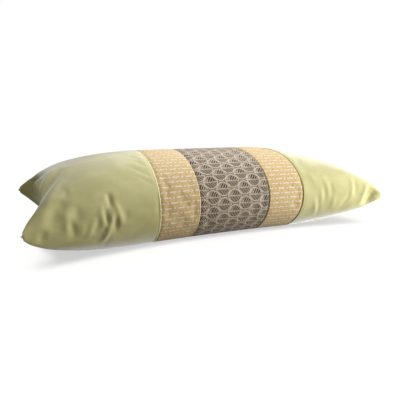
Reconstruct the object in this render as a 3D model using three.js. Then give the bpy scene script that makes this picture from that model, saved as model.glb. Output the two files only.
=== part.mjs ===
// A long rectangular cushion: five bands of cloth around one firm filling, lying on its back.
// Millimetres, +Z up. X runs along the cushion, Y from its near long side to its far one. The
// origin is at the middle of the footprint, on the surface that the cushion lies on.

import * as THREE from 'three';
import { mergeVertices } from 'three/addons/utils/BufferGeometryUtils.js';

// Driving dimensions of the filled cover
const HALF_LENGTH = 302; // from the middle to the corners' tips, before they are rounded
const COVER_WIDTH = 300; // the flat cover's width, kept from corner to corner
const WAIST_WIDTH = 225; // the filled middle is narrower, as its sides are drawn in
const HALF_THICKNESS = 78; // crown above the filling's axis
const AXIS_HEIGHT = 62; // the axis above the surface: less, because the underside flattens
const SETTLE = 8; // height over which the underside rounds into its flat footprint
const END_NOTCH = 61; // how far the filling draws in the middle of each end seam
const END_OVERHANG = 37; // how far the filling bulges out again, above and below that seam
// Plan rounding of the corners' tips: one was turned out more bluntly, and reaches out a little more
const CORNERS = {
  left: { near: 9, far: 4 },
  right: { near: 4, far: 4 },
};
const NEAR_LEFT_REACH = 3;
const REACH_START = 0.7; // share of the half width where that reach begins

// How the form runs out to the ends
const END_RUN = 144; // length over which the thickness falls to nothing
const END_FULLNESS = { middle: 0.28, corner: 0.12 }; // exponents of that fall: lower is blunter
const WIDENING = 1.6; // exponent with which the width grows from waist to corners
const WAIST_SOFTNESS = 0.15; // rounding of the waist, where that growth starts
const NOTCH_GROWTH = 2; // exponent with which the notch fades towards the middle
const NOTCH_SPREAD = 0.43; // exponent of the notch across the end: 1 is a V, lower is a U
const NOTCH_SOFTNESS = 0.1; // rounding of the notch's vertex
const OVERHANG_CENTRE = -0.36; // place of the bulge across the end: -1 near, 1 far
const OVERHANG_SPREAD = 1.7; // exponent of the bulge across the end: higher is narrower
const OVERHANG_START = 0.3; // share of an end band over which it sets in

// Heights of the end seams above the surface, at their corners and in the middle
const END_SEAMS = {
  left: { near: 56, middle: 66, far: 64 },
  right: { near: 60, middle: 66, far: 60 },
};

// Seams between the bands
const GAP = 0.3; // clearance between two bands' solids
const SEAM_DEPTH = 1.8; // the stitching draws the cloth in
const SEAM_SPREAD = 2.5;
const CLOSING_SEAM_DEPTH = 1.6; // along the far long edge, where the cover is sewn shut
const CLOSING_SEAM_SPREAD = 6;

// Fineness of the solids
const AROUND = 72; // points on a section
const VELVET_STEP = 5.6; // between the sections of the creased end bands
const WOVEN_STEP = 12; // between those of the smooth middle bands
const SEAM_OFFSETS = [GAP / 2, 2, 6]; // sections beside a seam

// Creases stay off the footprint and the end seams
const FLOOR_FADE = 16;
const END_FADE = 12;
const FOLD_OVERRUN = 1.35; // a fold tapers out past the ends given below
const FOLD_TAPER = 1.5; // exponent of that taper: higher is more pointed
const FOLD_REACH = 18; // a fold has died away at about this distance from its line

const CLOTHS = {
  velvet: { color: 0xb4b56c, roughness: 0.85 },
  dash: { color: 0xcdb26a, roughness: 0.8 },
  leaf: { color: 0x7d6d59, roughness: 0.8 },
};

const BANDS = [
  { name: 'velvet_panel_left', from: -HALF_LENGTH, to: -109, cloth: 'velvet', step: VELVET_STEP },
  { name: 'dash_panel_left', from: -109, to: -44, cloth: 'dash', step: WOVEN_STEP },
  { name: 'leaf_panel_centre', from: -44, to: 80, cloth: 'leaf', step: WOVEN_STEP },
  { name: 'dash_panel_right', from: 80, to: 144, cloth: 'dash', step: WOVEN_STEP },
  { name: 'velvet_panel_right', from: 144, to: HALF_LENGTH, cloth: 'velvet', step: VELVET_STEP },
];
const SEAMS = BANDS.slice(1).map((band) => band.from);

// Folds: each is a line from one place on the cover to another with a half width, raised, or
// sunk where its rise is negative.
const FOLD_COLUMNS = ['fromX', 'fromY', 'fromZ', 'toX', 'toY', 'toZ', 'spread', 'rise'];
const FOLDS = [
  // near side of the left end
  [-183, -116, 93, -182, -124, 77, 5, -3.2],
  [-191, -127, 73, -187, -127, 54, 5, -3],
  [-180, -126, 68, -194, -118, 31, 6, 3.2],
  [-176, -125, 62, -177, -121, 42, 5, -3],
  [-177, -121, 82, -168, -123, 52, 6, 2.2],
  [-205, -130, 64, -216, -128, 40, 6, 2.5],
  [-226, -129, 83, -227, -134, 62, 8, -2.5],
  [-236, -136, 66, -233, -134, 44, 5.5, -3.5],
  [-240, -134, 78, -242, -137, 46, 7, 2.5],
  [-250, -130, 87, -263, -141, 60, 8, -2.5],
  [-248, -118, 99, -280, -145, 58, 9, 2.5],
  [-269, -143, 58, -275, -143, 44, 6, -2.5],
  // left end, fanning up over the crown from the notch in its seam
  [-276, 126, 84, -262, 56, 72, 12, -9],
  [-268, -24, 106, -284, -98, 84, 12, -5],
  [-262, 24, 104, -274, -72, 88, 8, -4],
  [-250, -35, 114, -269, -92, 88, 8, 4],
  [-237, -40, 117, -265, -106, 88, 8, -4],
  [-242, -92, 108, -264, -124, 86, 8, 3],
  // near side of the right end
  [185, -126, 77, 186, -127, 50, 5, -2.5],
  [188, -116, 96, 193, -129, 58, 6, 2.5],
  [199, -124, 88, 199, -130, 60, 5, -2],
  [166, -123, 60, 178, -115, 30, 6, 2.5],
  [172, -125, 65, 182, -114, 29, 5, -2.5],
  [240, -130, 90, 238, -137, 60, 6, 2],
  [247, -133, 86, 243, -138, 60, 6, -2],
  [271, -141, 84, 256, -139, 44, 8, 3],
  [272, -142, 76, 261, -139, 48, 6, -2],
  [281, -144, 68, 268, -141, 44, 9, -5],
  // right end, fanning up over the crown from its notch
  [266, 104, 88, 262, 56, 72, 12, -5],
  [252, 20, 104, 264, -8, 82, 10, -3],
  [246, -40, 108, 268, -44, 80, 11, 3],
  [262, 62, 92, 262, 22, 76, 9, 3],
  [252, -84, 100, 270, -76, 78, 9, -3],
  // far side of both ends
  [-165, 100, 111, -174, 128, 74, 6, -5],
  [-184, 109, 106, -180, 129, 69, 7, 3.5],
  [-211, 91, 118, -218, 130, 88, 7, -4.5],
  [-232, 94, 114, -236, 125, 94, 7, 3.5],
  [191, 106, 104, 198, 127, 70, 5.5, -4.5],
  [214, 100, 111, 211, 131, 71, 7, 3.5],
  [243, 101, 108, 250, 129, 90, 7, -4],
  // underside of both ends
  [-219, -75, 7, -262, -50, 43, 9, -4],
  [-215, -18, 6, -264, -27, 46, 10, 3.5],
  [-221, 37, 8, -262, 4, 46, 9, -3.5],
  [-228, 86, 13, -258, 32, 44, 8, 3],
  [224, -76, 10, 262, -55, 44, 9, -3.5],
  [220, -17, 9, 262, -28, 46, 10, 3],
  [226, 48, 9, 260, -1, 46, 9, -3.5],
].map((row) => Object.fromEntries(FOLD_COLUMNS.map((name, k) => [name, row[k]])));

const clamp01 = (value) => Math.min(Math.max(value, 0), 1);
const mix = (a, b, share) => a + (b - a) * share;
const smooth = (value) => clamp01(value) ** 2 * (3 - 2 * clamp01(value));

// Heights near the surface round off into the flat footprint at zero.
function settled(z) {
  if (z <= -SETTLE) return 0;
  return z < SETTLE ? (z + SETTLE) ** 2 / (4 * SETTLE) : z;
}

// The share |t|, level at 0 where it would have a vertex.
function softened(t, softness) {
  return (Math.hypot(t, softness) - softness) / (Math.hypot(1, softness) - softness);
}

// How far a point of an end seam lies in from the tips: the notch, and the corners' rounding.
function drawnIn(side, across) {
  const notch = END_NOTCH * clamp01(1 - softened(across, NOTCH_SOFTNESS)) ** NOTCH_SPREAD;
  const { near, far } = side < 0 ? CORNERS.left : CORNERS.right;
  const radius = across < 0 ? near : far;
  const share = radius / (COVER_WIDTH / 2);
  const corner = clamp01((Math.abs(across) - (1 - share)) / share);
  const reach = side < 0 ? NEAR_LEFT_REACH * clamp01((-across - REACH_START) / (1 - REACH_START)) ** 2 : 0;
  return notch + radius * (1 - Math.sqrt(1 - corner ** 2)) - reach;
}

// How far the filling bulges out past an end seam there, where it is half as thick as it gets.
function overhang(across) {
  const offset = across - OVERHANG_CENTRE;
  const toEdge = 1 - Math.sign(offset) * OVERHANG_CENTRE;
  return END_OVERHANG * clamp01(1 - Math.abs(offset) / toEdge) ** OVERHANG_SPREAD;
}

function endSeamHeight(side, across) {
  const { near, middle, far } = side < 0 ? END_SEAMS.left : END_SEAMS.right;
  const bow = middle - (near + far) / 2;
  return mix(near, far, (1 + across) / 2) + bow * (1 - across ** 2);
}

// The filled cover without its folds. A station is a place along the cushion, and the angle
// goes around it: 0 at the near edge, 90 degrees on the crown, 180 at the far edge.
function cover(station, angle) {
  const across = -Math.cos(angle);
  const rise = Math.sin(angle);
  const side = Math.sign(station);
  const start = side < 0 ? -SEAMS[0] : SEAMS[3];
  const reach = clamp01((Math.abs(station) - start) / (HALF_LENGTH - start));
  const widening = softened(station / HALF_LENGTH, WAIST_SOFTNESS) ** WIDENING;
  const halfWidth = mix(WAIST_WIDTH / 2, COVER_WIDTH / 2, widening);
  const x = station - side * drawnIn(side, across) * reach ** NOTCH_GROWTH;
  const toSeam = clamp01((HALF_LENGTH - drawnIn(side, across) - Math.abs(x)) / END_RUN);
  const bluntness = mix(END_FULLNESS.middle, END_FULLNESS.corner, across ** 2);
  const fullness = reach === 1 ? 0 : (1 - (1 - toSeam) ** 2) ** bluntness;
  const axis = mix(AXIS_HEIGHT, endSeamHeight(side, across), reach ** 2);
  const z = settled(axis + HALF_THICKNESS * fullness * rise);
  const bulge = overhang(across) * 4 * fullness * (1 - fullness) * Math.abs(rise);
  const bulged = x + side * bulge * smooth(reach / OVERHANG_START);
  return new THREE.Vector3(bulged, halfWidth * across, z);
}

function coverNormal(station, angle) {
  const step = 0.01;
  const inward = Math.min(Math.abs(station), HALF_LENGTH - 1) * Math.sign(station);
  const along = cover(inward + step, angle).sub(cover(inward - step, angle));
  const around = cover(inward, angle + step).sub(cover(inward, angle - step));
  return along.cross(around).normalize();
}

// Stations an even way apart along the cloth of the crown.
function evenStations(from, to, step) {
  const fine = 400;
  const crown = Math.PI / 3;
  const places = Array.from({ length: fine + 1 }, (_, k) => mix(from, to, k / fine));
  const points = places.map((station) => cover(station, crown));
  const lengths = [0];
  for (let k = 1; k <= fine; k++) lengths.push(lengths[k - 1] + points[k].distanceTo(points[k - 1]));
  const count = Math.round(lengths[fine] / step);
  const stations = [];
  for (let n = 0, k = 0; n <= count; n++) {
    const wanted = (lengths[fine] * n) / count;
    while (k < fine - 1 && lengths[k + 1] < wanted) k++;
    const share = (wanted - lengths[k]) / (lengths[k + 1] - lengths[k]);
    stations.push(mix(places[k], places[k + 1], share));
  }
  return stations;
}

// A band's stations: close together beside its seams, then evenly to the next seam or the end.
function bandStations({ from, to, step }) {
  const first = SEAMS.includes(from) ? SEAM_OFFSETS.map((offset) => from + offset) : [from];
  const last = SEAMS.includes(to) ? SEAM_OFFSETS.map((offset) => to - offset).reverse() : [to];
  const middle = evenStations(first.at(-1), last[0], step).slice(1, -1);
  return [...first, ...middle, ...last];
}

const half = AROUND / 2;

// A point's angle: negative underneath, so that upper and lower points mirror each other.
const angleOf = (j) => (2 * Math.PI * (j > half ? j - AROUND : j)) / AROUND;

// Height of all folds at a point of the cover.
function foldHeight(point, normal) {
  let height = 0;
  for (const { fromX, fromY, fromZ, toX, toY, toZ, spread, rise } of FOLDS) {
    const line = new THREE.Vector3(toX - fromX, toY - fromY, toZ - fromZ);
    const run = (line.length() / 2) * FOLD_OVERRUN;
    const middle = new THREE.Vector3(fromX + toX, fromY + toY, fromZ + toZ).divideScalar(2);
    const offset = point.clone().sub(middle);
    const along = offset.dot(line.normalize()) / run;
    const away = Math.sqrt(Math.max(offset.lengthSq() - offset.dot(line) ** 2, 0)) / FOLD_REACH;
    const aside = offset.dot(line.cross(normal)) / spread;
    if (Math.abs(along) < 1) {
      height += rise * (1 - along ** 2) ** FOLD_TAPER * Math.exp(-(aside ** 2) - away ** 2);
    }
  }
  return height;
}

// How far the sewing draws the cloth in: at the four band seams and along the far edge.
function seamDepth(station, angle, point) {
  let depth = 0;
  for (const seam of SEAMS) depth += SEAM_DEPTH * Math.exp(-(((station - seam) / SEAM_SPREAD) ** 2));
  const fromFarEdge = point.distanceTo(cover(station, Math.PI));
  return depth + CLOSING_SEAM_DEPTH * Math.exp(-((fromFarEdge / CLOSING_SEAM_SPREAD) ** 2));
}

const atCut = (station) => SEAMS.some((seam) => Math.abs(station - seam) <= GAP / 2 + 1e-6);

// Every section of the cushion, folded. At a cut the points keep to the cut's own plane.
function foldedRings(stations) {
  return stations.map((station) =>
    Array.from({ length: AROUND }, (_, j) => {
      const angle = angleOf(j);
      const point = cover(station, angle);
      const normal = coverNormal(station, angle);
      const toEnd = point.distanceTo(cover(Math.sign(station) * HALF_LENGTH, angle));
      const fade = smooth(point.z / FLOOR_FADE) * smooth(toEnd / END_FADE);
      const height = foldHeight(point, normal) - seamDepth(station, angle, point);
      if (atCut(station)) normal.setX(0).normalize();
      const folded = point.addScaledVector(normal, height * fade);
      return folded.setZ(Math.max(folded.z, 0));
    })
  );
}

// One closed solid from its sections. A cut end is capped flat, and an end seam, where the
// upper and lower points of the last section meet, closes by itself.
function loft(rings, cutAtStart, cutAtEnd) {
  const positions = rings.flat().flatMap((point) => point.toArray());
  const index = [];
  for (let i = 0; i + 1 < rings.length; i++) {
    for (let j = 0; j < AROUND; j++) {
      const next = (j + 1) % AROUND;
      const [a, b] = [i * AROUND + j, i * AROUND + next];
      index.push(a, a + AROUND, b, b, a + AROUND, b + AROUND);
    }
  }
  const cap = (i, flip) => {
    const centre = rings[i].reduce((sum, point) => sum.add(point), new THREE.Vector3());
    centre.divideScalar(AROUND);
    const middle = positions.length / 3;
    positions.push(...centre.toArray());
    for (let j = 0; j < AROUND; j++) {
      const [a, b] = [i * AROUND + j, i * AROUND + ((j + 1) % AROUND)];
      index.push(...(flip ? [middle, a, b] : [middle, b, a]));
    }
  };
  if (cutAtStart) cap(0, true);
  if (cutAtEnd) cap(rings.length - 1, false);
  const geometry = new THREE.BufferGeometry();
  geometry.setAttribute('position', new THREE.Float32BufferAttribute(positions, 3));
  geometry.setIndex(index);
  const closed = mergeVertices(geometry, 1e-4);
  closed.computeVertexNormals();
  return closed;
}

function buildCushion() {
  const group = new THREE.Group();
  const stationsOf = BANDS.map(bandStations);
  const rings = foldedRings(stationsOf.flat());
  let first = 0;
  BANDS.forEach((band, k) => {
    const own = rings.slice(first, first + stationsOf[k].length);
    first += own.length;
    const geometry = loft(own, SEAMS.includes(band.from), SEAMS.includes(band.to));
    const material = new THREE.MeshStandardMaterial({ ...CLOTHS[band.cloth], metalness: 0 });
    const mesh = new THREE.Mesh(geometry, material);
    mesh.name = band.name;
    group.add(mesh);
  });
  return group;
}

export default buildCushion();
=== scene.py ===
import math

import bmesh
import bpy
import numpy as np
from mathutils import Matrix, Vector


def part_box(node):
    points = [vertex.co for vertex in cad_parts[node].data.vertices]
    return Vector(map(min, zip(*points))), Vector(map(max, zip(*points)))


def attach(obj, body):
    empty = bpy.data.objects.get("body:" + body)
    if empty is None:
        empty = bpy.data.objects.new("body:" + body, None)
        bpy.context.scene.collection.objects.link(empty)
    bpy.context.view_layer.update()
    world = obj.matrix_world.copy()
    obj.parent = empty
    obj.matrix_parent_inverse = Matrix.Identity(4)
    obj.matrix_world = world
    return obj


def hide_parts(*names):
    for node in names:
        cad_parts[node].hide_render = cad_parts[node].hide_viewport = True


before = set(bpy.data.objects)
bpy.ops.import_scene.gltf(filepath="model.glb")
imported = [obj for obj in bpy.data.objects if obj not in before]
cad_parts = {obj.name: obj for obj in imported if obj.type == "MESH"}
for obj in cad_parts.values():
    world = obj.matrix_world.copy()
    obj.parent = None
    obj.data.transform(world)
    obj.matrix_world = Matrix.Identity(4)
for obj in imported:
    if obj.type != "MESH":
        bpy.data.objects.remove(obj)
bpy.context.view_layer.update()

MM = 0.001

# The bands from left to right: the solid that each replaces, and its cloth
BANDS = [
    ("velvet_panel_left", "velvet"),
    ("dash_panel_left", "dash_cloth"),
    ("leaf_panel_centre", "leaf_cloth"),
    ("dash_panel_right", "dash_cloth"),
    ("velvet_panel_right", "velvet"),
]

# How far a band's pattern lies off the other band of its cloth, along and around the cushion
PATTERN_SHIFT = {"dash_panel_right": (6.2 * MM, -1.0 * MM)}

# The filled cover, as the solids have it
HALF_LENGTH = 302 * MM  # from the middle to the corners' tips, before they are rounded
COVER_WIDTH = 300 * MM
WAIST_WIDTH = 225 * MM
HALF_THICKNESS = 78 * MM  # crown above the filling's axis
AXIS_HEIGHT = 62 * MM
SETTLE = 8 * MM  # height over which the underside rounds into its flat footprint
END_NOTCH = 61 * MM  # how far the middle of each end seam is drawn in
END_OVERHANG = 37 * MM  # how far the filling bulges out over that seam
CORNERS = {-1: (9 * MM, 4 * MM), 1: (4 * MM, 4 * MM)}  # rounding of the near and far tips, by end
NEAR_LEFT_REACH = 3 * MM  # one tip reaches out a little more
REACH_START = 0.7
END_RUN = 144 * MM  # length over which the thickness falls to nothing
END_FULLNESS_MIDDLE = 0.28  # exponents of that fall: lower is blunter
END_FULLNESS_CORNER = 0.12
WIDENING = 1.6  # exponent of the widening from the waist to the ends
WAIST_SOFTNESS = 0.15
NOTCH_GROWTH = 2  # exponent of the notch's growth towards the end
NOTCH_SPREAD = 0.43  # exponent of its outline: lower is wider
NOTCH_SOFTNESS = 0.1
OVERHANG_CENTRE = -0.36  # place of the bulge across the end: -1 near, 1 far
OVERHANG_SPREAD = 1.7  # exponent of its outline: lower is wider
OVERHANG_START = 0.3  # share of the end's length over which it sets in
# Heights of each end seam: near, middle and far
END_SEAMS = {-1: (56 * MM, 66 * MM, 64 * MM), 1: (60 * MM, 66 * MM, 60 * MM)}

# Sewing: for each band seam how deep it lies, and which side's cloth stands over it
BAND_SEWING = [(0.5 * MM, -1), (0.6 * MM, -1), (1.8 * MM, 1), (1.8 * MM, 1)]
SEAM_SPREAD = 1.2 * MM
CLOSING_DEPTH = 1.6 * MM  # along the far edge, where the cover is sewn shut
CLOSING_SPREAD = 4.0 * MM
LIP_RISE = 0.9 * MM
LIP_PEAK = 1.0 * MM
LIP_SPREAD = 1.1 * MM
END_ROLL = 1.6 * MM  # the turned cloth inside an end seam lifts it a little
END_ROLL_CLOSE = 2.5 * MM
END_ROLL_SPREAD = 9.0 * MM

# Fineness of the meshes: points around, steps along, and rows beside a band seam and an end seam
AROUND = 336
VELVET_STEP = 1.9 * MM
WOVEN_STEP = 2.6 * MM
SEAM_OFFSETS = [0.15 * MM, 0.45 * MM, 0.8 * MM, 1.2 * MM, 1.7 * MM, 2.4 * MM, 3.4 * MM, 4.6 * MM]
AT_CUT = SEAM_OFFSETS[0] * 1.5  # a row nearer a seam than this is a band's cut edge
END_OFFSETS = [0, 0.2 * MM, 0.8 * MM]
SAME_POINT = 0.001 * MM
# The line along the near shoulder that spaces the rows out
SHOULDER_ANGLE = math.pi / 3
SHOULDER_SAMPLES = 1601
# How far to each side a normal's tangents are taken, and how far from the ends they stay
NORMAL_TURN = 0.01
NORMAL_REACH = 0.01 * MM
NORMAL_FROM_END = 0.5 * MM
SMALLEST = 1e-12  # no vector is divided by less

# The cloth simulation: a coarser grid, a little more cloth than the form needs, and its largest move
CLOTH_STEP = 5.5 * MM
CLOTH_AROUND = 120
CLOTH_FRAMES = 20
CLOTH_PRESSURE = 4
CLOTH_SPARE = 0.012
CLOTH_CAP = 1.3 * MM
PINNED_BELOW = 1.5 * MM
CLOTH_FLOOR_FADE = 50 * MM
CLOTH_END_FADE = 60 * MM

# Folds stay off the footprint and the end seams, taper out along their lines and die away beside them
FLOOR_FADE = 16 * MM
END_FADE = 12 * MM
FOLD_OVERRUN = 1.35
FOLD_REACH = 18 * MM
FOLD_TAPER = 1.5

# Folds, millimetres: a line between two places on the cover, a half width and a height (sunk below 0)
FOLDS = [
    # near side of the left end
    (-183, -116, 93, -182, -124, 77, 3.8, -3.2),
    (-191, -127, 73, -187, -127, 54, 3.6, -3),
    (-196, -126, 78, -194, -127, 50, 4.2, 1.8),
    (-180, -126, 68, -194, -118, 31, 4, 3.2),
    (-176, -125, 62, -177, -121, 42, 3.8, -3.2),
    (-177, -121, 82, -168, -123, 52, 4, 2),
    (-163, -123, 71, -161, -123, 57, 5, -1.2),
    (-226, -129, 83, -227, -134, 62, 7, -1.8),
    (-236, -136, 66, -233, -134, 44, 4.5, -3),
    (-240, -134, 78, -242, -137, 46, 6, 2),
    (-205, -130, 64, -216, -128, 40, 4.5, 1.8),
    (-200, -129, 62, -207, -127, 44, 4.5, -1.6),
    (-221, -133, 62, -223, -133, 45, 4.5, 1),
    (-250, -130, 87, -263, -141, 60, 8, -2.2),
    (-248, -118, 99, -280, -145, 58, 9, 2.4),
    (-269, -143, 58, -275, -143, 44, 5, -2.4),
    (-243, -126, 90, -245, -132, 76, 7, -1.2),
    (-113, -117, 84, -114, -119, 54, 4, -1.4),
    # left end, fanning up over the crown from the notch in its seam
    (-276, 126, 84, -262, 56, 72, 10, -9),
    (-268, -24, 106, -284, -98, 84, 12, -5),
    (-262, 24, 104, -274, -72, 88, 4, -3.4),
    (-256, 0, 108, -272, -80, 90, 4, 2.6),
    (-250, -22, 114, -270, -86, 90, 4, -3.2),
    (-244, -46, 117, -268, -96, 88, 4.5, 2.6),
    (-236, -58, 118, -265, -108, 86, 5, -2.8),
    (-240, -88, 110, -264, -124, 84, 6, 2.2),
    # near side of the right end
    (148, -112, 93, 146, -122, 64, 4, 0.8),
    (164, -107, 101, 168, -119, 84, 6, 0.8),
    (179, -123, 80, 180, -126, 52, 4.5, 0.8),
    (185, -126, 77, 186, -127, 50, 4.5, -0.9),
    (188, -116, 96, 193, -129, 62, 4.5, 1),
    (199, -124, 88, 199, -130, 60, 4, -0.9),
    (166, -123, 60, 178, -115, 30, 4.5, 1.1),
    (172, -125, 65, 182, -114, 29, 4.5, -1.1),
    (202, -130, 64, 205, -127, 40, 5, 1),
    (240, -130, 90, 238, -137, 60, 4.5, 1.2),
    (247, -133, 86, 243, -138, 60, 5, -1.1),
    (236, -136, 68, 220, -128, 38, 5, -1.2),
    (271, -141, 84, 256, -139, 44, 6, 1.8),
    (258, -141, 54, 234, -131, 38, 7, 0.9),
    (267, -141, 79, 255, -138, 48, 5, 0.8),
    (272, -142, 76, 261, -139, 48, 4, -2.2),
    (281, -144, 68, 268, -141, 44, 8, -5),
    # right end, fanning up over the crown from its notch
    (266, 104, 88, 262, 56, 72, 10, -4),
    (252, 20, 104, 264, -8, 82, 8, -3),
    (246, -40, 108, 268, -44, 80, 9, 2.5),
    (262, 62, 92, 262, 22, 76, 8, 2.5),
    (252, -84, 100, 270, -76, 78, 8, -2.5),
    # far side of both ends
    (-165, 100, 111, -174, 128, 74, 6, -5),
    (-184, 109, 106, -180, 129, 69, 7, 3.5),
    (-211, 91, 118, -218, 130, 88, 7, -4.5),
    (-232, 94, 114, -236, 125, 94, 7, 3.5),
    (191, 106, 104, 198, 127, 70, 5.5, -4.5),
    (214, 100, 111, 211, 131, 71, 7, 3.5),
    (243, 101, 108, 250, 129, 90, 7, -4),
    # underside of both ends
    (-219, -75, 7, -262, -50, 43, 9, -4),
    (-215, -18, 6, -264, -27, 46, 10, 3.5),
    (-221, 37, 8, -262, 4, 46, 9, -3.5),
    (-228, 86, 13, -258, 32, 44, 8, 3),
    (224, -76, 10, 262, -55, 44, 9, -3.5),
    (220, -17, 9, 262, -28, 46, 10, 3),
    (226, 48, 9, 260, -1, 46, 9, -3.5),
]

# Lamps that light the cushion alone: place and width in metres, power in watts
LAMPS = [
    ("key", 0.50, -0.50, 0.15, 0.30, 4.4),
    ("low", 0.60, -0.40, 0.05, 0.30, 2.8),
    ("over", 0.10, 0.0, 0.35, 0.30, 0.67),
    ("top", -0.10, 0.0, 0.35, 0.30, 0.56),
]
LAMP_AIM = Vector((0, 0, 0.05))
LAMP_COLOUR = (0.955, 0.965, 1.0)
# A soft sun that lights the floor alone, shaded by the cushion: direction, width in degrees, strength
SHADE_FROM = Vector((-0.25, -0.75, 1.0))
SHADE_WIDTH = 28
SHADE_STRENGTH = 3.2
# The surround and the floor: how strongly they light the cushion, and how bright they look
SURROUND = 0.35
SURROUND_SEEN = 1.02
FLOOR_SIZE = 60
FLOOR_BOUNCE = (0.10, 0.085, 0.03)
FLOOR_WHITE = 0.4
FLOOR_GLOW = 0.57

# The camera: degrees and metres, with its focal length and shift in pixels of the picture
PICTURE = 400
CAMERA_AZIMUTH = 24.1825
CAMERA_ELEVATION = 15.0
CAMERA_TARGET = Vector((-8.221 * MM, 0, 5.05 * MM))
CAMERA_DISTANCE = 697.562 * MM
CAMERA_FOCAL = 374.6542
CAMERA_SHIFT = (7.898, 22.9348)
SENSOR_WIDTH = 36  # millimetres


def clamp01(value):
    return np.clip(value, 0, 1)


def mix(a, b, share):
    return a + (b - a) * share


def smooth(value):
    t = clamp01(value)
    return t * t * (3 - 2 * t)


def band_seams():
    """x of the four seams between the bands, half way across the solids' gaps."""
    boxes = [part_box(node) for node, _ in BANDS]
    return [(left[1].x + right[0].x) / 2 for left, right in zip(boxes, boxes[1:])]


SEAMS = band_seams()
EDGES = [-HALF_LENGTH, *SEAMS, HALF_LENGTH]
MIDDLE = (SEAMS[1] + SEAMS[2]) / 2


def settled(z):
    """Heights near the floor round off into the flat footprint."""
    return np.where(z <= -SETTLE, 0, np.where(z < SETTLE, (z + SETTLE) ** 2 / (4 * SETTLE), z))


def softened(t, softness):
    """The size of t, 0 at 0 and 1 at 1, rounded where it would turn sharply."""
    return (np.hypot(t, softness) - softness) / (math.hypot(1, softness) - softness)


def by_side(side, table, item):
    """An item of the table's left row where the side is negative, and of its right row elsewhere."""
    return np.where(side < 0, table[-1][item], table[1][item])


def drawn_in(side, across):
    """How far an end seam lies in from the tips: the notch, and the corners' rounding."""
    notch = END_NOTCH * clamp01(1 - softened(across, NOTCH_SOFTNESS)) ** NOTCH_SPREAD
    radius = np.where(across < 0, by_side(side, CORNERS, 0), by_side(side, CORNERS, 1))
    share = radius / (COVER_WIDTH / 2)
    corner = clamp01((np.abs(across) - (1 - share)) / share)
    to_tip = clamp01((-across - REACH_START) / (1 - REACH_START))
    reach = np.where(side < 0, NEAR_LEFT_REACH, 0) * to_tip**2
    return notch + radius * (1 - np.sqrt(1 - corner**2)) - reach


def overhang(across):
    """How far the filling bulges out over an end seam at most, for each place across."""
    offset = across - OVERHANG_CENTRE
    to_edge = 1 - np.sign(offset) * OVERHANG_CENTRE
    return END_OVERHANG * clamp01(1 - np.abs(offset) / to_edge) ** OVERHANG_SPREAD


def end_seam_height(side, across):
    """Height of an end seam: from its near tip to its far one, bowed between them."""
    near, middle, far = (by_side(side, END_SEAMS, k) for k in range(3))
    bow = middle - (near + far) / 2
    return mix(near, far, (1 + across) / 2) + bow * (1 - across**2)


def cover(station, angle):
    """The filled cover without its folds, as an array of points.

    A station is a place along the cushion, and the angle goes around it: 0 at the near edge,
    a quarter turn on the crown, half a turn at the far edge.
    """
    station, angle = np.broadcast_arrays(np.asarray(station, float), np.asarray(angle, float))
    across = -np.cos(angle)
    rise = np.sin(angle)
    side = np.sign(station)
    start = np.where(side < 0, -SEAMS[0], SEAMS[3])
    reach = clamp01((np.abs(station) - start) / (HALF_LENGTH - start))
    widening = softened(station / HALF_LENGTH, WAIST_SOFTNESS) ** WIDENING
    half_width = mix(WAIST_WIDTH / 2, COVER_WIDTH / 2, widening)
    inset = drawn_in(side, across)
    x = station - side * inset * reach**NOTCH_GROWTH
    to_seam = clamp01((HALF_LENGTH - inset - np.abs(x)) / END_RUN)
    bluntness = mix(END_FULLNESS_MIDDLE, END_FULLNESS_CORNER, across**2)
    fullness = np.where(reach >= 1, 0, (1 - (1 - to_seam) ** 2) ** bluntness)
    axis = mix(AXIS_HEIGHT, end_seam_height(side, across), reach**2)
    z = settled(axis + HALF_THICKNESS * fullness * rise)
    bulge = overhang(across) * 4 * fullness * (1 - fullness) * np.abs(rise)
    x = x + side * bulge * smooth(reach / OVERHANG_START)
    return np.stack([x, half_width * across, z], axis=-1)


def unit(vectors):
    return vectors / np.maximum(np.linalg.norm(vectors, axis=-1, keepdims=True), SMALLEST)


def cover_normal(station, angle):
    """Outward normals of the filled cover without its folds."""
    inward = np.sign(station) * np.minimum(np.abs(station), HALF_LENGTH - NORMAL_FROM_END)
    along = cover(inward + NORMAL_REACH, angle) - cover(inward - NORMAL_REACH, angle)
    around = cover(inward, angle + NORMAL_TURN) - cover(inward, angle - NORMAL_TURN)
    return unit(np.cross(along, around))


def fold_height(points, normals):
    """Height of all folds at each point of the cover."""
    height = np.zeros(points.shape[:-1])
    for row in FOLDS:
        start, end = np.array(row[0:3]) * MM, np.array(row[3:6]) * MM
        spread, rise = row[6] * MM, row[7] * MM
        run = np.linalg.norm(end - start) / 2 * FOLD_OVERRUN
        line = unit(end - start)
        offset = points - (start + end) / 2
        along = offset @ line
        aside = np.sum(offset * np.cross(line, normals), axis=-1) / spread
        away = (np.sum(offset**2, axis=-1) - along**2) / FOLD_REACH**2
        height += rise * clamp01(1 - (along / run) ** 2) ** FOLD_TAPER * np.exp(-(aside**2) - away)
    return height


def sewn_depth(station, points):
    """How far the stitching draws the cloth in at the band seams and the closing seam."""
    depth = np.zeros(np.shape(station))
    for seam, (deep, _) in zip(SEAMS, BAND_SEWING):
        depth += deep * np.exp(-(((station - seam) / SEAM_SPREAD) ** 2))
    from_far_edge = np.linalg.norm(points - cover(station, math.pi), axis=-1)
    return depth + CLOSING_DEPTH * np.exp(-((from_far_edge / CLOSING_SPREAD) ** 2))


def seam_lip(station):
    """The upper cloth of each band seam stands a little over the lower one."""
    height = np.zeros(np.shape(station))
    for seam, (_, side) in zip(SEAMS, BAND_SEWING):
        past = (station - seam) * side
        height += LIP_RISE * np.exp(-(((past - LIP_PEAK) / LIP_SPREAD) ** 2)) * (past > 0)
    return height


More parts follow.
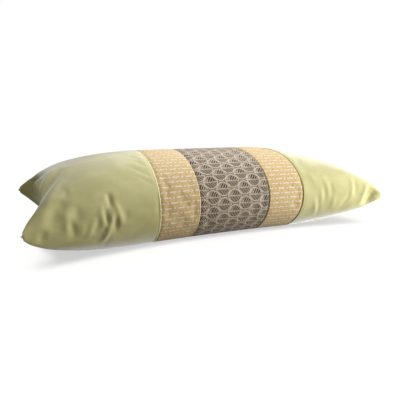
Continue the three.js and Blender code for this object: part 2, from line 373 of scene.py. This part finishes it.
def lengths_along(points):
    """Length from the first row of points to each row."""
    steps = np.linalg.norm(np.diff(points, axis=0), axis=-1)
    return np.concatenate([np.zeros((1, *steps.shape[1:])), np.cumsum(steps, axis=0)])


def even_stations(start, end, step):
    """Stations an even way apart along the cloth, measured on its near shoulder."""
    places = np.linspace(start, end, SHOULDER_SAMPLES)
    lengths = lengths_along(cover(places, SHOULDER_ANGLE))
    count = round(lengths[-1] / step)
    return np.interp(np.linspace(0, lengths[-1], count + 1), lengths, places)


def band_stations(number):
    """A band's stations: close together beside its seams, even between them."""
    start, end = EDGES[number], EDGES[number + 1]
    step = VELVET_STEP if BANDS[number][1] == "velvet" else WOVEN_STEP
    first = [start + offset for offset in (END_OFFSETS if number == 0 else SEAM_OFFSETS)]
    last = [end - offset for offset in (END_OFFSETS if number == len(BANDS) - 1 else SEAM_OFFSETS)]
    middle = even_stations(first[-1], last[-1], step)[1:-1]
    return np.concatenate([first, middle, last[::-1]])


def ring_angles(count):
    """Angles around the cushion from its near edge, negative underneath."""
    return np.array([2 * math.pi * (j - count if j > count // 2 else j) / count for j in range(count)])


def end_roll(end):
    """Height of the rolled cloth beside an end seam, at that distance from it."""
    onset = 1 - np.exp(-((end / END_ROLL_CLOSE) ** 2))
    return END_ROLL * onset * np.exp(-((end / END_ROLL_SPREAD) ** 2))


def folded(stations, angles):
    """The points of the cover at those stations and angles, with folds and sewing.

    At a cut between two bands the points keep to the cut's own plane.
    """
    station, angle = np.meshgrid(stations, angles, indexing="ij")
    points = cover(station, angle)
    normals = cover_normal(station, angle)
    end = np.linalg.norm(points - cover(np.sign(station) * HALF_LENGTH, angle), axis=-1)
    fade = smooth(points[..., 2] / FLOOR_FADE)
    height = fold_height(points, normals) * smooth(end / END_FADE)
    height += (seam_lip(station) - sewn_depth(station, points)) * smooth(end / END_FADE)
    height += end_roll(end)
    at_cut = np.min([np.abs(station - seam) for seam in SEAMS], axis=0) < AT_CUT
    normals[..., 0] = np.where(at_cut, 0, normals[..., 0])
    points = points + unit(normals) * (height * fade)[..., None]
    points[..., 2] = np.maximum(points[..., 2], 0)
    return points


def tube_faces(rows, count):
    """Quads that join rings of points to a tube, ring by ring."""
    faces = []
    for i in range(rows - 1):
        for j in range(count):
            k = (j + 1) % count
            faces.append((i * count + j, (i + 1) * count + j, (i + 1) * count + k, i * count + k))
    return faces


def cloth_tube(points, held):
    """A tube of cloth under the filling's pressure, held fast where the table says so."""
    mesh = bpy.data.meshes.new("cloth")
    mesh.from_pydata(points.reshape(-1, 3).tolist(), [], tube_faces(*points.shape[:2]))
    cloth = bpy.data.objects.new("cloth", mesh)
    bpy.context.scene.collection.objects.link(cloth)
    cloth.vertex_groups.new(name="held").add(np.flatnonzero(held).tolist(), 1.0, "REPLACE")
    modifier = cloth.modifiers.new("Cloth", "CLOTH")
    settings = modifier.settings
    settings.vertex_group_mass = "held"
    settings.use_pressure = True
    settings.uniform_pressure_force = CLOTH_PRESSURE
    settings.shrink_min = -CLOTH_SPARE
    settings.effector_weights.gravity = 0
    modifier.point_cache.frame_end = CLOTH_FRAMES
    return cloth


def simulated_moves(stations, angles):
    """How far a cloth of that grid moves when the filling presses on it, sewn fast at every seam."""
    start = folded(stations, angles)
    held = np.isin(stations, EDGES)[:, None] | (start[..., 2] < PINNED_BELOW)
    cloth = cloth_tube(start, held)
    for number in range(1, CLOTH_FRAMES + 1):
        bpy.context.scene.frame_set(number)
    result = cloth.evaluated_get(bpy.context.evaluated_depsgraph_get()).to_mesh()
    end = np.zeros(start.size)
    result.vertices.foreach_get("co", end)
    moves = end.reshape(start.shape) - start
    mesh = cloth.data
    bpy.data.objects.remove(cloth)
    bpy.data.meshes.remove(mesh)
    bpy.context.scene.frame_set(1)
    size = np.linalg.norm(moves, axis=-1, keepdims=True)
    return moves / np.hypot(1, size / CLOTH_CAP)


def between(values, places, axis, wraps):
    """Values of a grid at fractional places along one axis, by smooth four-point interpolation."""
    count = values.shape[axis]
    whole = np.floor(places).astype(int)
    t = places - whole
    weights = [
        (-t + 2 * t**2 - t**3) / 2,
        (2 - 5 * t**2 + 3 * t**3) / 2,
        (t + 4 * t**2 - 3 * t**3) / 2,
        (t**3 - t**2) / 2,
    ]
    total = 0
    for tap, weight in enumerate(weights):
        index = whole + tap - 1
        index = index % count if wraps else np.clip(index, 0, count - 1)
        shape = [1] * values.ndim
        shape[axis] = -1
        total = total + np.take(values, index, axis=axis) * weight.reshape(shape)
    return total


def coarse_stations():
    """The simulated cloth's stations, with one exactly on each seam."""
    spans = [even_stations(start, end, CLOTH_STEP) for start, end in zip(EDGES, EDGES[1:])]
    stations = np.concatenate([spans[0], *(span[1:] for span in spans[1:])])
    for edge in EDGES:
        stations[np.argmin(np.abs(stations - edge))] = edge
    return stations


def cloth_moves(stations, points):
    """The simulated cloth's moves on the fine grid, faded out towards the floor and the ends."""
    coarse = coarse_stations()
    moves = simulated_moves(coarse, ring_angles(CLOTH_AROUND))
    moves = between(moves, np.interp(stations, coarse, np.arange(len(coarse))), 0, False)
    moves = between(moves, np.arange(AROUND) * CLOTH_AROUND / AROUND, 1, True)
    from_end = (HALF_LENGTH - np.abs(stations))[:, None]
    fade = smooth(points[..., 2] / CLOTH_FLOOR_FADE) * smooth(from_end / CLOTH_END_FADE)
    return moves * fade[..., None]


def cloth_around():
    """Length of cloth around the cushion from its near edge to each column, at the middle band."""
    angles = np.linspace(0, math.pi, AROUND // 2 + 1)
    return lengths_along(cover(MIDDLE, angles)), lengths_along(cover(MIDDLE, -angles))


def cloth_along(points, stations):
    """Length of cloth along the cushion from the middle of its middle band, for each point."""
    lengths = lengths_along(points)
    after = int(np.searchsorted(stations, MIDDLE))
    share = (MIDDLE - stations[after - 1]) / (stations[after] - stations[after - 1])
    return lengths - mix(lengths[after - 1], lengths[after], share)


def cloth_places(along, shift):
    """Each corner's place on the cloth, in the order of tube_faces: along and around the cushion."""
    upper, lower = cloth_around()
    half = AROUND // 2
    along = along + shift[0]

    def around(j, faces_down):
        return shift[1] + (-lower[AROUND - j] if faces_down or j > half else upper[j])

    places = []
    for i in range(len(along) - 1):
        for j in range(AROUND):
            k = (j + 1) % AROUND
            down = j >= half
            v_j, v_k = around(j, down), (shift[1] if k == 0 else around(k, down))
            places += [(along[i, j], v_j), (along[i + 1, j], v_j)]
            places += [(along[i + 1, k], v_k), (along[i, k], v_k)]
    return places


def cap_faces(ring, centre, flip):
    """Triangles from a flat cut's centre to its ring of points."""
    faces = []
    for j in range(AROUND):
        a, b = ring * AROUND + j, ring * AROUND + (j + 1) % AROUND
        faces.append((centre, b, a) if flip else (centre, a, b))
    return faces


def band_mesh(name, points, along, stations, shift, capped_start, capped_end):
    """One closed band: rings of points, joined by quads, with flat caps at its cut ends."""
    rows = len(points)
    vertices = points.reshape(-1, 3).tolist()
    faces = tube_faces(rows, AROUND)
    uvs = cloth_places(along, shift)
    for capped, ring, flip in ((capped_start, 0, False), (capped_end, rows - 1, True)):
        if capped:
            faces += cap_faces(ring, len(vertices), flip)
            uvs += [(0.0, 0.0)] * 3 * AROUND
            vertices.append(points[ring].mean(axis=0).tolist())
    mesh = bpy.data.meshes.new(name)
    mesh.from_pydata(vertices, [], faces)
    layer = mesh.uv_layers.new(name="cloth")
    layer.data.foreach_set("uv", np.array(uvs, float).ravel())
    piece = bpy.data.objects.new(name, mesh)
    bpy.context.scene.collection.objects.link(piece)
    mark_edges(mesh, stations)
    merge_end_seam(mesh)
    for polygon in mesh.polygons:
        polygon.use_smooth = True
    return piece


def mark_edges(mesh, stations):
    """Each point's distance from the raised right-hand edge of its band, where the materials paint a
    highlight.
    """
    raised = [seam for seam, (_, side) in zip(SEAMS, BAND_SEWING) if side < 0]
    distances = [np.where(stations < seam, seam - stations, HALF_LENGTH) for seam in raised]
    nearest = np.min(distances, axis=0)
    values = np.repeat(nearest, AROUND)
    values = np.append(values, np.zeros(len(mesh.vertices) - len(values)))
    mesh.attributes.new("painted_highlight", "FLOAT", "POINT").data.foreach_set("value", values)


def merge_end_seam(mesh):
    """Join the upper and the lower cloth at the end seam, once its quads are all split one way."""
    work = bmesh.new()
    work.from_mesh(mesh)
    pairs = bmesh.ops.find_doubles(work, verts=work.verts, dist=SAME_POINT)["targetmap"]
    joined = set(pairs.keys()) | set(pairs.values())
    beside = [face for face in work.faces if any(vert in joined for vert in face.verts)]
    bmesh.ops.triangulate(work, faces=beside, quad_method="FIXED")
    bmesh.ops.remove_doubles(work, verts=work.verts, dist=SAME_POINT)
    work.to_mesh(mesh)
    work.free()


PER_METRE = 1000.0  # millimetres
# Width and softness of the painted highlight along a band's raised edge
PAINTED_HIGHLIGHT_WIDTH = 1.8  # millimetres
PAINTED_HIGHLIGHT_SOFT = 0.3
SPECULAR = 0.25
# Sheens: a weight, a roughness and a tint
NO_SHEEN = (0.0, 0.5, (1, 1, 1))
VELVET_SHEEN = (1.0, 0.4, (1, 1, 0.98))
DASH_SHEEN = (0.15, 0.5, (1, 0.95, 0.8))
LEAF_SHEEN = (0.1, 0.5, (1, 0.95, 0.85))


class Graph:
    """A material's nodes, wired by short calls that take and give sockets or numbers."""

    def __init__(self, name):
        self.material = bpy.data.materials.new(name)
        self.material.use_nodes = True
        self.tree = self.material.node_tree
        self.shader = self.tree.nodes["Principled BSDF"]

    def plug(self, socket, value):
        if isinstance(value, bpy.types.NodeSocket):
            self.tree.links.new(value, socket)
        elif isinstance(value, tuple) and len(value) == 3 and socket.type == "RGBA":
            socket.default_value = (*value, 1)
        else:
            socket.default_value = value

    def node(self, kind, **inputs):
        made = self.tree.nodes.new(kind)
        for key, value in inputs.items():
            self.plug(made.inputs[key], value)
        return made.outputs[0]

    def math(self, operation, *values):
        made = self.tree.nodes.new("ShaderNodeMath")
        made.operation = operation
        for socket, value in zip(made.inputs, values):
            self.plug(socket, value)
        return made.outputs[0]

    def add(self, a, b):
        return self.math("ADD", a, b)

    def sub(self, a, b):
        return self.math("SUBTRACT", a, b)

    def mul(self, a, b):
        return self.math("MULTIPLY", a, b)

    def ramp(self, value, low, high):
        """0 below low, 1 above high, smooth between; the other way round where low is above high."""
        made = self.tree.nodes.new("ShaderNodeMapRange")
        made.interpolation_type = "SMOOTHSTEP"
        flip = low > high
        self.plug(made.inputs["Value"], value)
        self.plug(made.inputs["From Min"], high if flip else low)
        self.plug(made.inputs["From Max"], low if flip else high)
        self.plug(made.inputs["To Min"], 1.0 if flip else 0.0)
        self.plug(made.inputs["To Max"], 0.0 if flip else 1.0)
        return made.outputs[0]

    def band(self, value, low, high, soft):
        """1 between low and high, with soft edges."""
        above = self.ramp(value, low - soft, low + soft)
        return self.mul(above, self.ramp(value, high + soft, high - soft))

    def within(self, value, limit, soft):
        """1 below a limit, with a soft edge."""
        return self.ramp(value, limit + soft, limit - soft)

    def blend(self, a, b, share):
        """Colour a where the share is 0, b where it is 1."""
        made = self.tree.nodes.new("ShaderNodeMix")
        made.data_type = "RGBA"
        factor, first, second = made.inputs[0], made.inputs[6], made.inputs[7]
        self.plug(first, a)
        self.plug(second, b)
        self.plug(factor, share)
        return made.outputs[2]

    def cloth(self):
        """u along the cushion and v around it, in millimetres on the cloth."""
        spot = self.tree.nodes.new("ShaderNodeUVMap")
        spot.uv_map = "cloth"
        parts = self.tree.nodes.new("ShaderNodeSeparateXYZ")
        self.plug(parts.inputs[0], spot.outputs[0])
        return self.mul(parts.outputs[0], PER_METRE), self.mul(parts.outputs[1], PER_METRE)

    def painted_highlight(self):
        """1 along the raised right-hand edge of a band, where a highlight is painted, 0 elsewhere."""
        made = self.tree.nodes.new("ShaderNodeAttribute")
        made.attribute_name = "painted_highlight"
        return self.within(self.mul(made.outputs["Fac"], PER_METRE), PAINTED_HIGHLIGHT_WIDTH, PAINTED_HIGHLIGHT_SOFT)

    def at(self, x, y):
        return self.node("ShaderNodeCombineXYZ", X=x, Y=y)

    def noise(self, place, scale, detail, roughness=0.6):
        grain = {"Scale": scale, "Detail": detail, "Roughness": roughness}
        return self.node("ShaderNodeTexNoise", Vector=place, **grain)

    def bump(self, height, distance, strength):
        normal = self.node("ShaderNodeBump", Height=height, Distance=distance, Strength=strength)
        self.plug(self.shader.inputs["Normal"], normal)

    def finish(self, colour, roughness, sheen=NO_SHEEN):
        """The material with its colour, its roughness and its sheen."""
        self.plug(self.shader.inputs["Base Color"], colour)
        self.shader.inputs["Roughness"].default_value = roughness
        self.shader.inputs["Specular IOR Level"].default_value = SPECULAR
        self.shader.inputs["Sheen Weight"].default_value = sheen[0]
        self.shader.inputs["Sheen Roughness"].default_value = sheen[1]
        self.shader.inputs["Sheen Tint"].default_value = (*sheen[2], 1)
        return self.material


VELVET_TONES = {
    "deep": (0.385, 0.354, 0.147),
    "pale": (0.455, 0.42, 0.192),
    "tips": (0.50, 0.47, 0.25),
    # the painted highlight along the raised seam edge
    "painted_highlight": (0.74, 0.71, 0.38),
}


def velvet_material():
    """Short pale green pile: brushed patches, a fine grain and a soft pale sheen."""
    g = Graph("velvet")
    u, v = g.cloth()
    place = g.at(u, v)
    patches = g.noise(place, scale=0.012, detail=2.0)
    brushed = g.noise(place, scale=0.05, detail=3.0)
    grain = g.noise(place, scale=1.1, detail=2.0, roughness=0.7)
    tone = g.add(g.mul(patches, 0.6), g.mul(brushed, 0.4))
    colour = g.blend(VELVET_TONES["deep"], VELVET_TONES["pale"], g.ramp(tone, 0.38, 0.62))
    colour = g.blend(colour, VELVET_TONES["tips"], g.mul(g.ramp(grain, 0.5, 0.8), 0.35))
    # A painted highlight along the band's raised right-hand edge, where light would catch the seam's lip
    colour = g.blend(colour, VELVET_TONES["painted_highlight"], g.mul(g.painted_highlight(), 0.95))
    g.bump(grain, distance=0.25 * MM, strength=0.5)
    return g.finish(colour, roughness=0.8, sheen=VELVET_SHEEN)


# Rows of dashes, in millimetres on the cloth: half lengths and half widths of a dash and a dot
DASH_ROW = 7.95
DASH_PERIOD = 21.15
DASH_START = (1.8, 2.0)
DASH_HALF = 5.6
DOT_HALF = 1.1
DASH_WIDTH = 0.95
DOT_WIDTH = 1.35
DASH_END_SOFT = 0.4
DASH_SIDE_SOFT = 0.3
DASH_RAGGED = 1.6
WARP_PITCH = 0.9
WEFT_PITCH = 0.7
DASH_TONES = {
    "deep": (0.37, 0.255, 0.08),
    "pale": (0.62, 0.475, 0.23),
    "tinge": (0.56, 0.36, 0.19),
    "weave": (0.36, 0.24, 0.09),
    "mark": (0.63, 0.53, 0.52),
    # the painted highlight along the raised seam edge
    "painted_highlight": (0.68, 0.56, 0.31),
}


def dash_marks(g, u, v):
    """1 on the dashes and dots, 0 between them; every other row is set half a period over."""
    row = g.math("FLOOR", g.math("DIVIDE", v, DASH_ROW))
    across = g.sub(g.sub(v, g.mul(row, DASH_ROW)), DASH_ROW / 2)
    odd = g.math("FLOORED_MODULO", row, 2.0)
    shifted = g.add(u, g.mul(odd, DASH_PERIOD / 2))
    uneven = g.noise(g.at(u, v), scale=0.9, detail=2.0)
    ragged = g.mul(g.sub(uneven, 0.5), DASH_RAGGED)
    along = g.sub(g.math("FLOORED_MODULO", g.add(shifted, ragged), DASH_PERIOD), DASH_PERIOD / 2)
    from_dash = g.math("ABSOLUTE", along)
    from_row = g.math("ABSOLUTE", across)
    dash = g.within(from_dash, DASH_HALF, DASH_END_SOFT)
    dash = g.mul(dash, g.within(from_row, DASH_WIDTH, DASH_SIDE_SOFT))
    dot = g.within(g.sub(DASH_PERIOD / 2, from_dash), DOT_HALF, DASH_END_SOFT)
    dot = g.mul(dot, g.within(from_row, DOT_WIDTH, DASH_SIDE_SOFT))
    return g.math("MAXIMUM", dash, dot)


def dash_material():
    """Fine gold cloth with rows of woven white dashes, each followed by a dot."""
    g = Graph("dash_cloth")
    u, v = g.cloth()
    u, v = g.add(u, DASH_START[0]), g.add(v, DASH_START[1])
    mark = dash_marks(g, u, v)
    warp = g.math("SINE", g.mul(u, 2 * math.pi / WARP_PITCH))
    weft = g.math("SINE", g.mul(v, 2 * math.pi / WEFT_PITCH))
    weave = g.add(g.mul(g.mul(warp, weft), 0.5), 0.5)
    slub = g.noise(g.at(g.mul(u, 0.25), v), scale=0.9, detail=3.0, roughness=0.7)
    tint = g.noise(g.at(g.mul(u, 0.6), v), scale=0.45, detail=2.0, roughness=0.7)
    colour = g.blend(DASH_TONES["deep"], DASH_TONES["pale"], g.ramp(slub, 0.32, 0.68))
    colour = g.blend(colour, DASH_TONES["tinge"], g.mul(g.ramp(tint, 0.5, 0.75), 0.6))
    colour = g.blend(colour, DASH_TONES["weave"], g.mul(weave, 0.25))
    colour = g.blend(colour, DASH_TONES["mark"], g.mul(mark, 0.9))
    # A painted highlight, pale gold, along the band's raised right-hand edge
    colour = g.blend(colour, DASH_TONES["painted_highlight"], g.mul(g.painted_highlight(), 0.85))
    g.bump(g.add(g.mul(weave, 0.4), mark), distance=0.35 * MM, strength=0.6)
    return g.finish(colour, roughness=0.75, sheen=DASH_SHEEN)


# Rows of leaves, in millimetres on the cloth: from one leaf to the next, a leaf's ring and its lines
LEAF_ALONG = 38.4
LEAF_AROUND = 24.66
LEAF_START = (2.0, -12.0)
LEAF_HALF_LENGTH = 12.2
LEAF_HALF_WIDTH = 10.9
LEAF_LENGTH_POWER = 2.0
LEAF_WIDTH_POWER = 1.45
# Shares of a leaf's outline, each with its softness: the pale ring, and the dark ground around it
RING = (0.94, 1.06, 0.04)
RING_SURROUND = (1.12, 1.3, 0.06)
STROKE_PITCH = 4.3
STROKE_LEAN = 0.65
HATCH_PITCH = 4.6
HATCH_LEAN = -0.8
HATCH_DOT_PITCH = 2.6
LEAF_TONES = {
    "ground deep": (0.12, 0.095, 0.068),
    "ground pale": (0.29, 0.23, 0.165),
    "beside ring": (0.06, 0.045, 0.03),
    "upper deep": (0.25, 0.195, 0.145),
    "upper pale": (0.46, 0.375, 0.28),
    "stroke": (0.018, 0.010, 0.008),
    "lower deep": (0.17, 0.13, 0.09),
    "lower pale": (0.38, 0.305, 0.22),
    "hatch": (0.03, 0.02, 0.015),
    "line": (0.63, 0.53, 0.39),
}


def stripes(g, place, pitch, low, high):
    """Stripes of that pitch: 0 between them and 1 in their middles."""
    from_gap = g.math("ABSOLUTE", g.sub(g.math("FRACT", g.math("DIVIDE", place, pitch)), 0.5))
    return g.ramp(from_gap, low, high)


def leaf_places(g, u, v):
    """Each point's place from the middle of its own leaf, in a lattice set half way over row by row."""
    p, q = g.math("DIVIDE", u, LEAF_ALONG), g.math("DIVIDE", v, LEAF_AROUND)

    def centred(value, pitch, shift):
        return g.mul(g.sub(g.math("FRACT", g.add(value, shift)), 0.5), pitch)

    def half_height(a):
        wave = g.math("COSINE", g.mul(a, 2 * math.pi / LEAF_ALONG))
        return g.mul(g.add(wave, 1.0), LEAF_AROUND / 4)

    first_a, first_b = centred(p, LEAF_ALONG, 0.5), centred(q, LEAF_AROUND, 0.5)
    other_a, other_b = centred(p, LEAF_ALONG, 0.0), centred(q, LEAF_AROUND, 0.0)
    outside = g.math("GREATER_THAN", g.math("ABSOLUTE", first_b), half_height(first_a))
    a = g.add(g.mul(first_a, g.sub(1.0, outside)), g.mul(other_a, outside))
    b = g.add(g.mul(first_b, g.sub(1.0, outside)), g.mul(other_b, outside))
    return a, b


def leaf_strokes(g, a, b, outline):
    """Dark strokes above a leaf's midrib, fainter towards its left tip."""
    strokes = stripes(g, g.add(a, g.mul(b, -STROKE_LEAN)), STROKE_PITCH, 0.12, 0.24)
    strokes = g.mul(g.mul(strokes, g.ramp(b, 0.6, 1.4)), g.ramp(outline, 0.86, 0.74))
    return g.mul(strokes, g.add(0.4, g.mul(g.ramp(a, -5.5, -1.5), 0.6)))


def leaf_hatch(g, a, b, outline):
    """Dark hatching below a leaf's midrib, broken up into dots."""
    hatch = stripes(g, g.add(a, g.mul(b, -HATCH_LEAN)), HATCH_PITCH, 0.16, 0.3)
    dots = stripes(g, b, HATCH_DOT_PITCH, 0.1, 0.3)
    hatch = g.mul(g.mul(hatch, g.add(0.6, g.mul(dots, 0.4))), g.ramp(b, -0.6, -1.3))
    return g.mul(hatch, g.ramp(outline, 0.88, 0.76))


def leaf_lines(g, a, b, outline):
    """The pale woven lines: each leaf's ring, and its midrib, clearest at the left."""
    ring = g.band(outline, *RING)
    midrib = g.mul(g.ramp(g.math("ABSOLUTE", b), 0.65, 0.3), g.ramp(outline, 1.0, 0.94))
    midrib = g.mul(midrib, g.add(0.1, g.mul(g.ramp(a, 3.0, -3.0), 0.35)))
    return g.math("MAXIMUM", ring, midrib)


def leaf_material():
    """Brown jacquard: rows of ringed leaves with a pale midrib, strokes above it and hatching below."""
    g = Graph("leaf_cloth")
    u, v = g.cloth()
    a, b = leaf_places(g, g.add(u, LEAF_START[0]), g.add(v, LEAF_START[1]))
    length = g.math("DIVIDE", g.math("ABSOLUTE", a), LEAF_HALF_LENGTH)
    width = g.math("DIVIDE", g.math("ABSOLUTE", b), LEAF_HALF_WIDTH)
    outline = g.add(g.math("POWER", length, LEAF_LENGTH_POWER), g.math("POWER", width, LEAF_WIDTH_POWER))
    weave = g.noise(g.at(u, g.mul(v, 0.6)), scale=0.8, detail=3.0, roughness=0.8)
    lines = leaf_lines(g, a, b, outline)
    tones = LEAF_TONES
    ground = g.blend(tones["ground deep"], tones["ground pale"], g.ramp(weave, 0.4, 0.62))
    ground = g.blend(ground, tones["beside ring"], g.mul(g.band(outline, *RING_SURROUND), 0.75))
    upper = g.blend(tones["upper deep"], tones["upper pale"], g.ramp(weave, 0.38, 0.62))
    upper = g.blend(upper, tones["stroke"], leaf_strokes(g, a, b, outline))
    lower = g.blend(tones["lower deep"], tones["lower pale"], g.ramp(weave, 0.38, 0.62))
    lower = g.blend(lower, tones["hatch"], leaf_hatch(g, a, b, outline))
    inside = g.blend(upper, lower, g.ramp(b, 0.3, -0.3))
    colour = g.blend(ground, inside, g.ramp(outline, 0.92, 0.84))
    colour = g.blend(colour, tones["line"], g.mul(lines, 0.88))
    g.bump(g.add(lines, g.mul(weave, 0.5)), distance=0.4 * MM, strength=0.6)
    return g.finish(colour, roughness=0.75, sheen=LEAF_SHEEN)


def floor_material():
    """A floor that looks white and lights the cushion from below like a dim warm one."""
    g = Graph("floor")
    seen = g.node("ShaderNodeLightPath")
    g.plug(g.shader.inputs["Emission Color"], (1.0, 1.0, 1.0))
    g.plug(g.shader.inputs["Emission Strength"], g.mul(seen, FLOOR_GLOW))
    return g.finish(g.blend(FLOOR_BOUNCE, (FLOOR_WHITE,) * 3, seen), roughness=0.9)


def cushion():
    """The five bands of the cover, cut from one folded and simulated surface."""
    stations = [band_stations(number) for number in range(len(BANDS))]
    everything = np.concatenate(stations)
    points = folded(everything, ring_angles(AROUND))
    points = points + cloth_moves(everything, points)
    along = cloth_along(points, everything)
    materials = {
        "velvet": velvet_material(),
        "dash_cloth": dash_material(),
        "leaf_cloth": leaf_material(),
    }
    first = 0
    for number, (node, slot) in enumerate(BANDS):
        own = slice(first, first + len(stations[number]))
        first += len(stations[number])
        capped = (number > 0, number < len(BANDS) - 1)
        shift = PATTERN_SHIFT.get(node, (0, 0))
        piece = band_mesh(node + "_cover", points[own], along[own], stations[number], shift, *capped)
        piece.data.materials.append(materials[slot])
        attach(piece, "root")
        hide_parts(node)


def floor():
    """A wide level floor under the cushion."""
    bpy.ops.mesh.primitive_plane_add(size=FLOOR_SIZE)
    plane = bpy.context.object
    plane.name = "floor"
    plane.data.materials.append(floor_material())


def studio():
    """An even pale surround, which looks white."""
    world = bpy.data.worlds.new("studio")
    bpy.context.scene.world = world
    world.use_nodes = True
    tree = world.node_tree
    seen = tree.nodes.new("ShaderNodeLightPath")
    level = tree.nodes.new("ShaderNodeMapRange")
    tree.links.new(seen.outputs["Is Camera Ray"], level.inputs["Value"])
    tree.links.new(level.outputs[0], tree.nodes["Background"].inputs["Strength"])
    level.inputs["To Min"].default_value = SURROUND
    level.inputs["To Max"].default_value = SURROUND_SEEN
    tree.nodes["Background"].inputs["Color"].default_value = (1, 1, 1, 1)


def lit_only(name, objects):
    """A collection of the only objects that a lamp lights."""
    group = bpy.data.collections.new(name)
    for lit in objects:
        group.objects.link(lit)
    return group


def add_lamp(light, place, aim, lit):
    """A lamp at a place, turned towards its aim, which lights only that collection."""
    lamp = bpy.data.objects.new(light.name, light)
    lamp.location = place
    lamp.rotation_euler = (aim - lamp.location).to_track_quat("-Z", "Y").to_euler()
    lamp.light_linking.receiver_collection = lit
    bpy.context.scene.collection.objects.link(lamp)


def lights():
    """Lamps that light the cushion alone, and a soft sun that lights the floor alone."""
    pieces = lit_only("pieces", [bpy.data.objects[node + "_cover"] for node, _ in BANDS])
    for name, x, y, z, size, watts in LAMPS:
        light = bpy.data.lights.new(name, "AREA")
        light.shape = "DISK"
        light.size = size
        light.energy = watts
        light.color = LAMP_COLOUR
        add_lamp(light, Vector((x, y, z)), LAMP_AIM, pieces)
    shade = bpy.data.lights.new("shade", "SUN")
    shade.angle = math.radians(SHADE_WIDTH)
    shade.energy = SHADE_STRENGTH
    add_lamp(shade, SHADE_FROM, Vector((0, 0, 0)), lit_only("ground", [bpy.data.objects["floor"]]))


def camera():
    """The photo's view, fitted to the cushion's outline and seams."""
    azimuth, elevation = math.radians(CAMERA_AZIMUTH), math.radians(CAMERA_ELEVATION)
    direction = Vector((
        math.sin(azimuth) * math.cos(elevation),
        math.cos(azimuth) * math.cos(elevation),
        -math.sin(elevation),
    ))
    data = bpy.data.cameras.new("camera")
    data.sensor_width = SENSOR_WIDTH
    data.lens = CAMERA_FOCAL / PICTURE * SENSOR_WIDTH
    data.shift_x = CAMERA_SHIFT[0] / PICTURE
    data.shift_y = CAMERA_SHIFT[1] / PICTURE
    viewer = bpy.data.objects.new("camera", data)
    viewer.location = CAMERA_TARGET - direction * CAMERA_DISTANCE
    viewer.rotation_euler = direction.to_track_quat("-Z", "Y").to_euler()
    bpy.context.scene.collection.objects.link(viewer)
    bpy.context.scene.camera = viewer


cushion()
floor()
studio()
lights()
camera()
bpy.context.scene.view_settings.view_transform = "Standard"
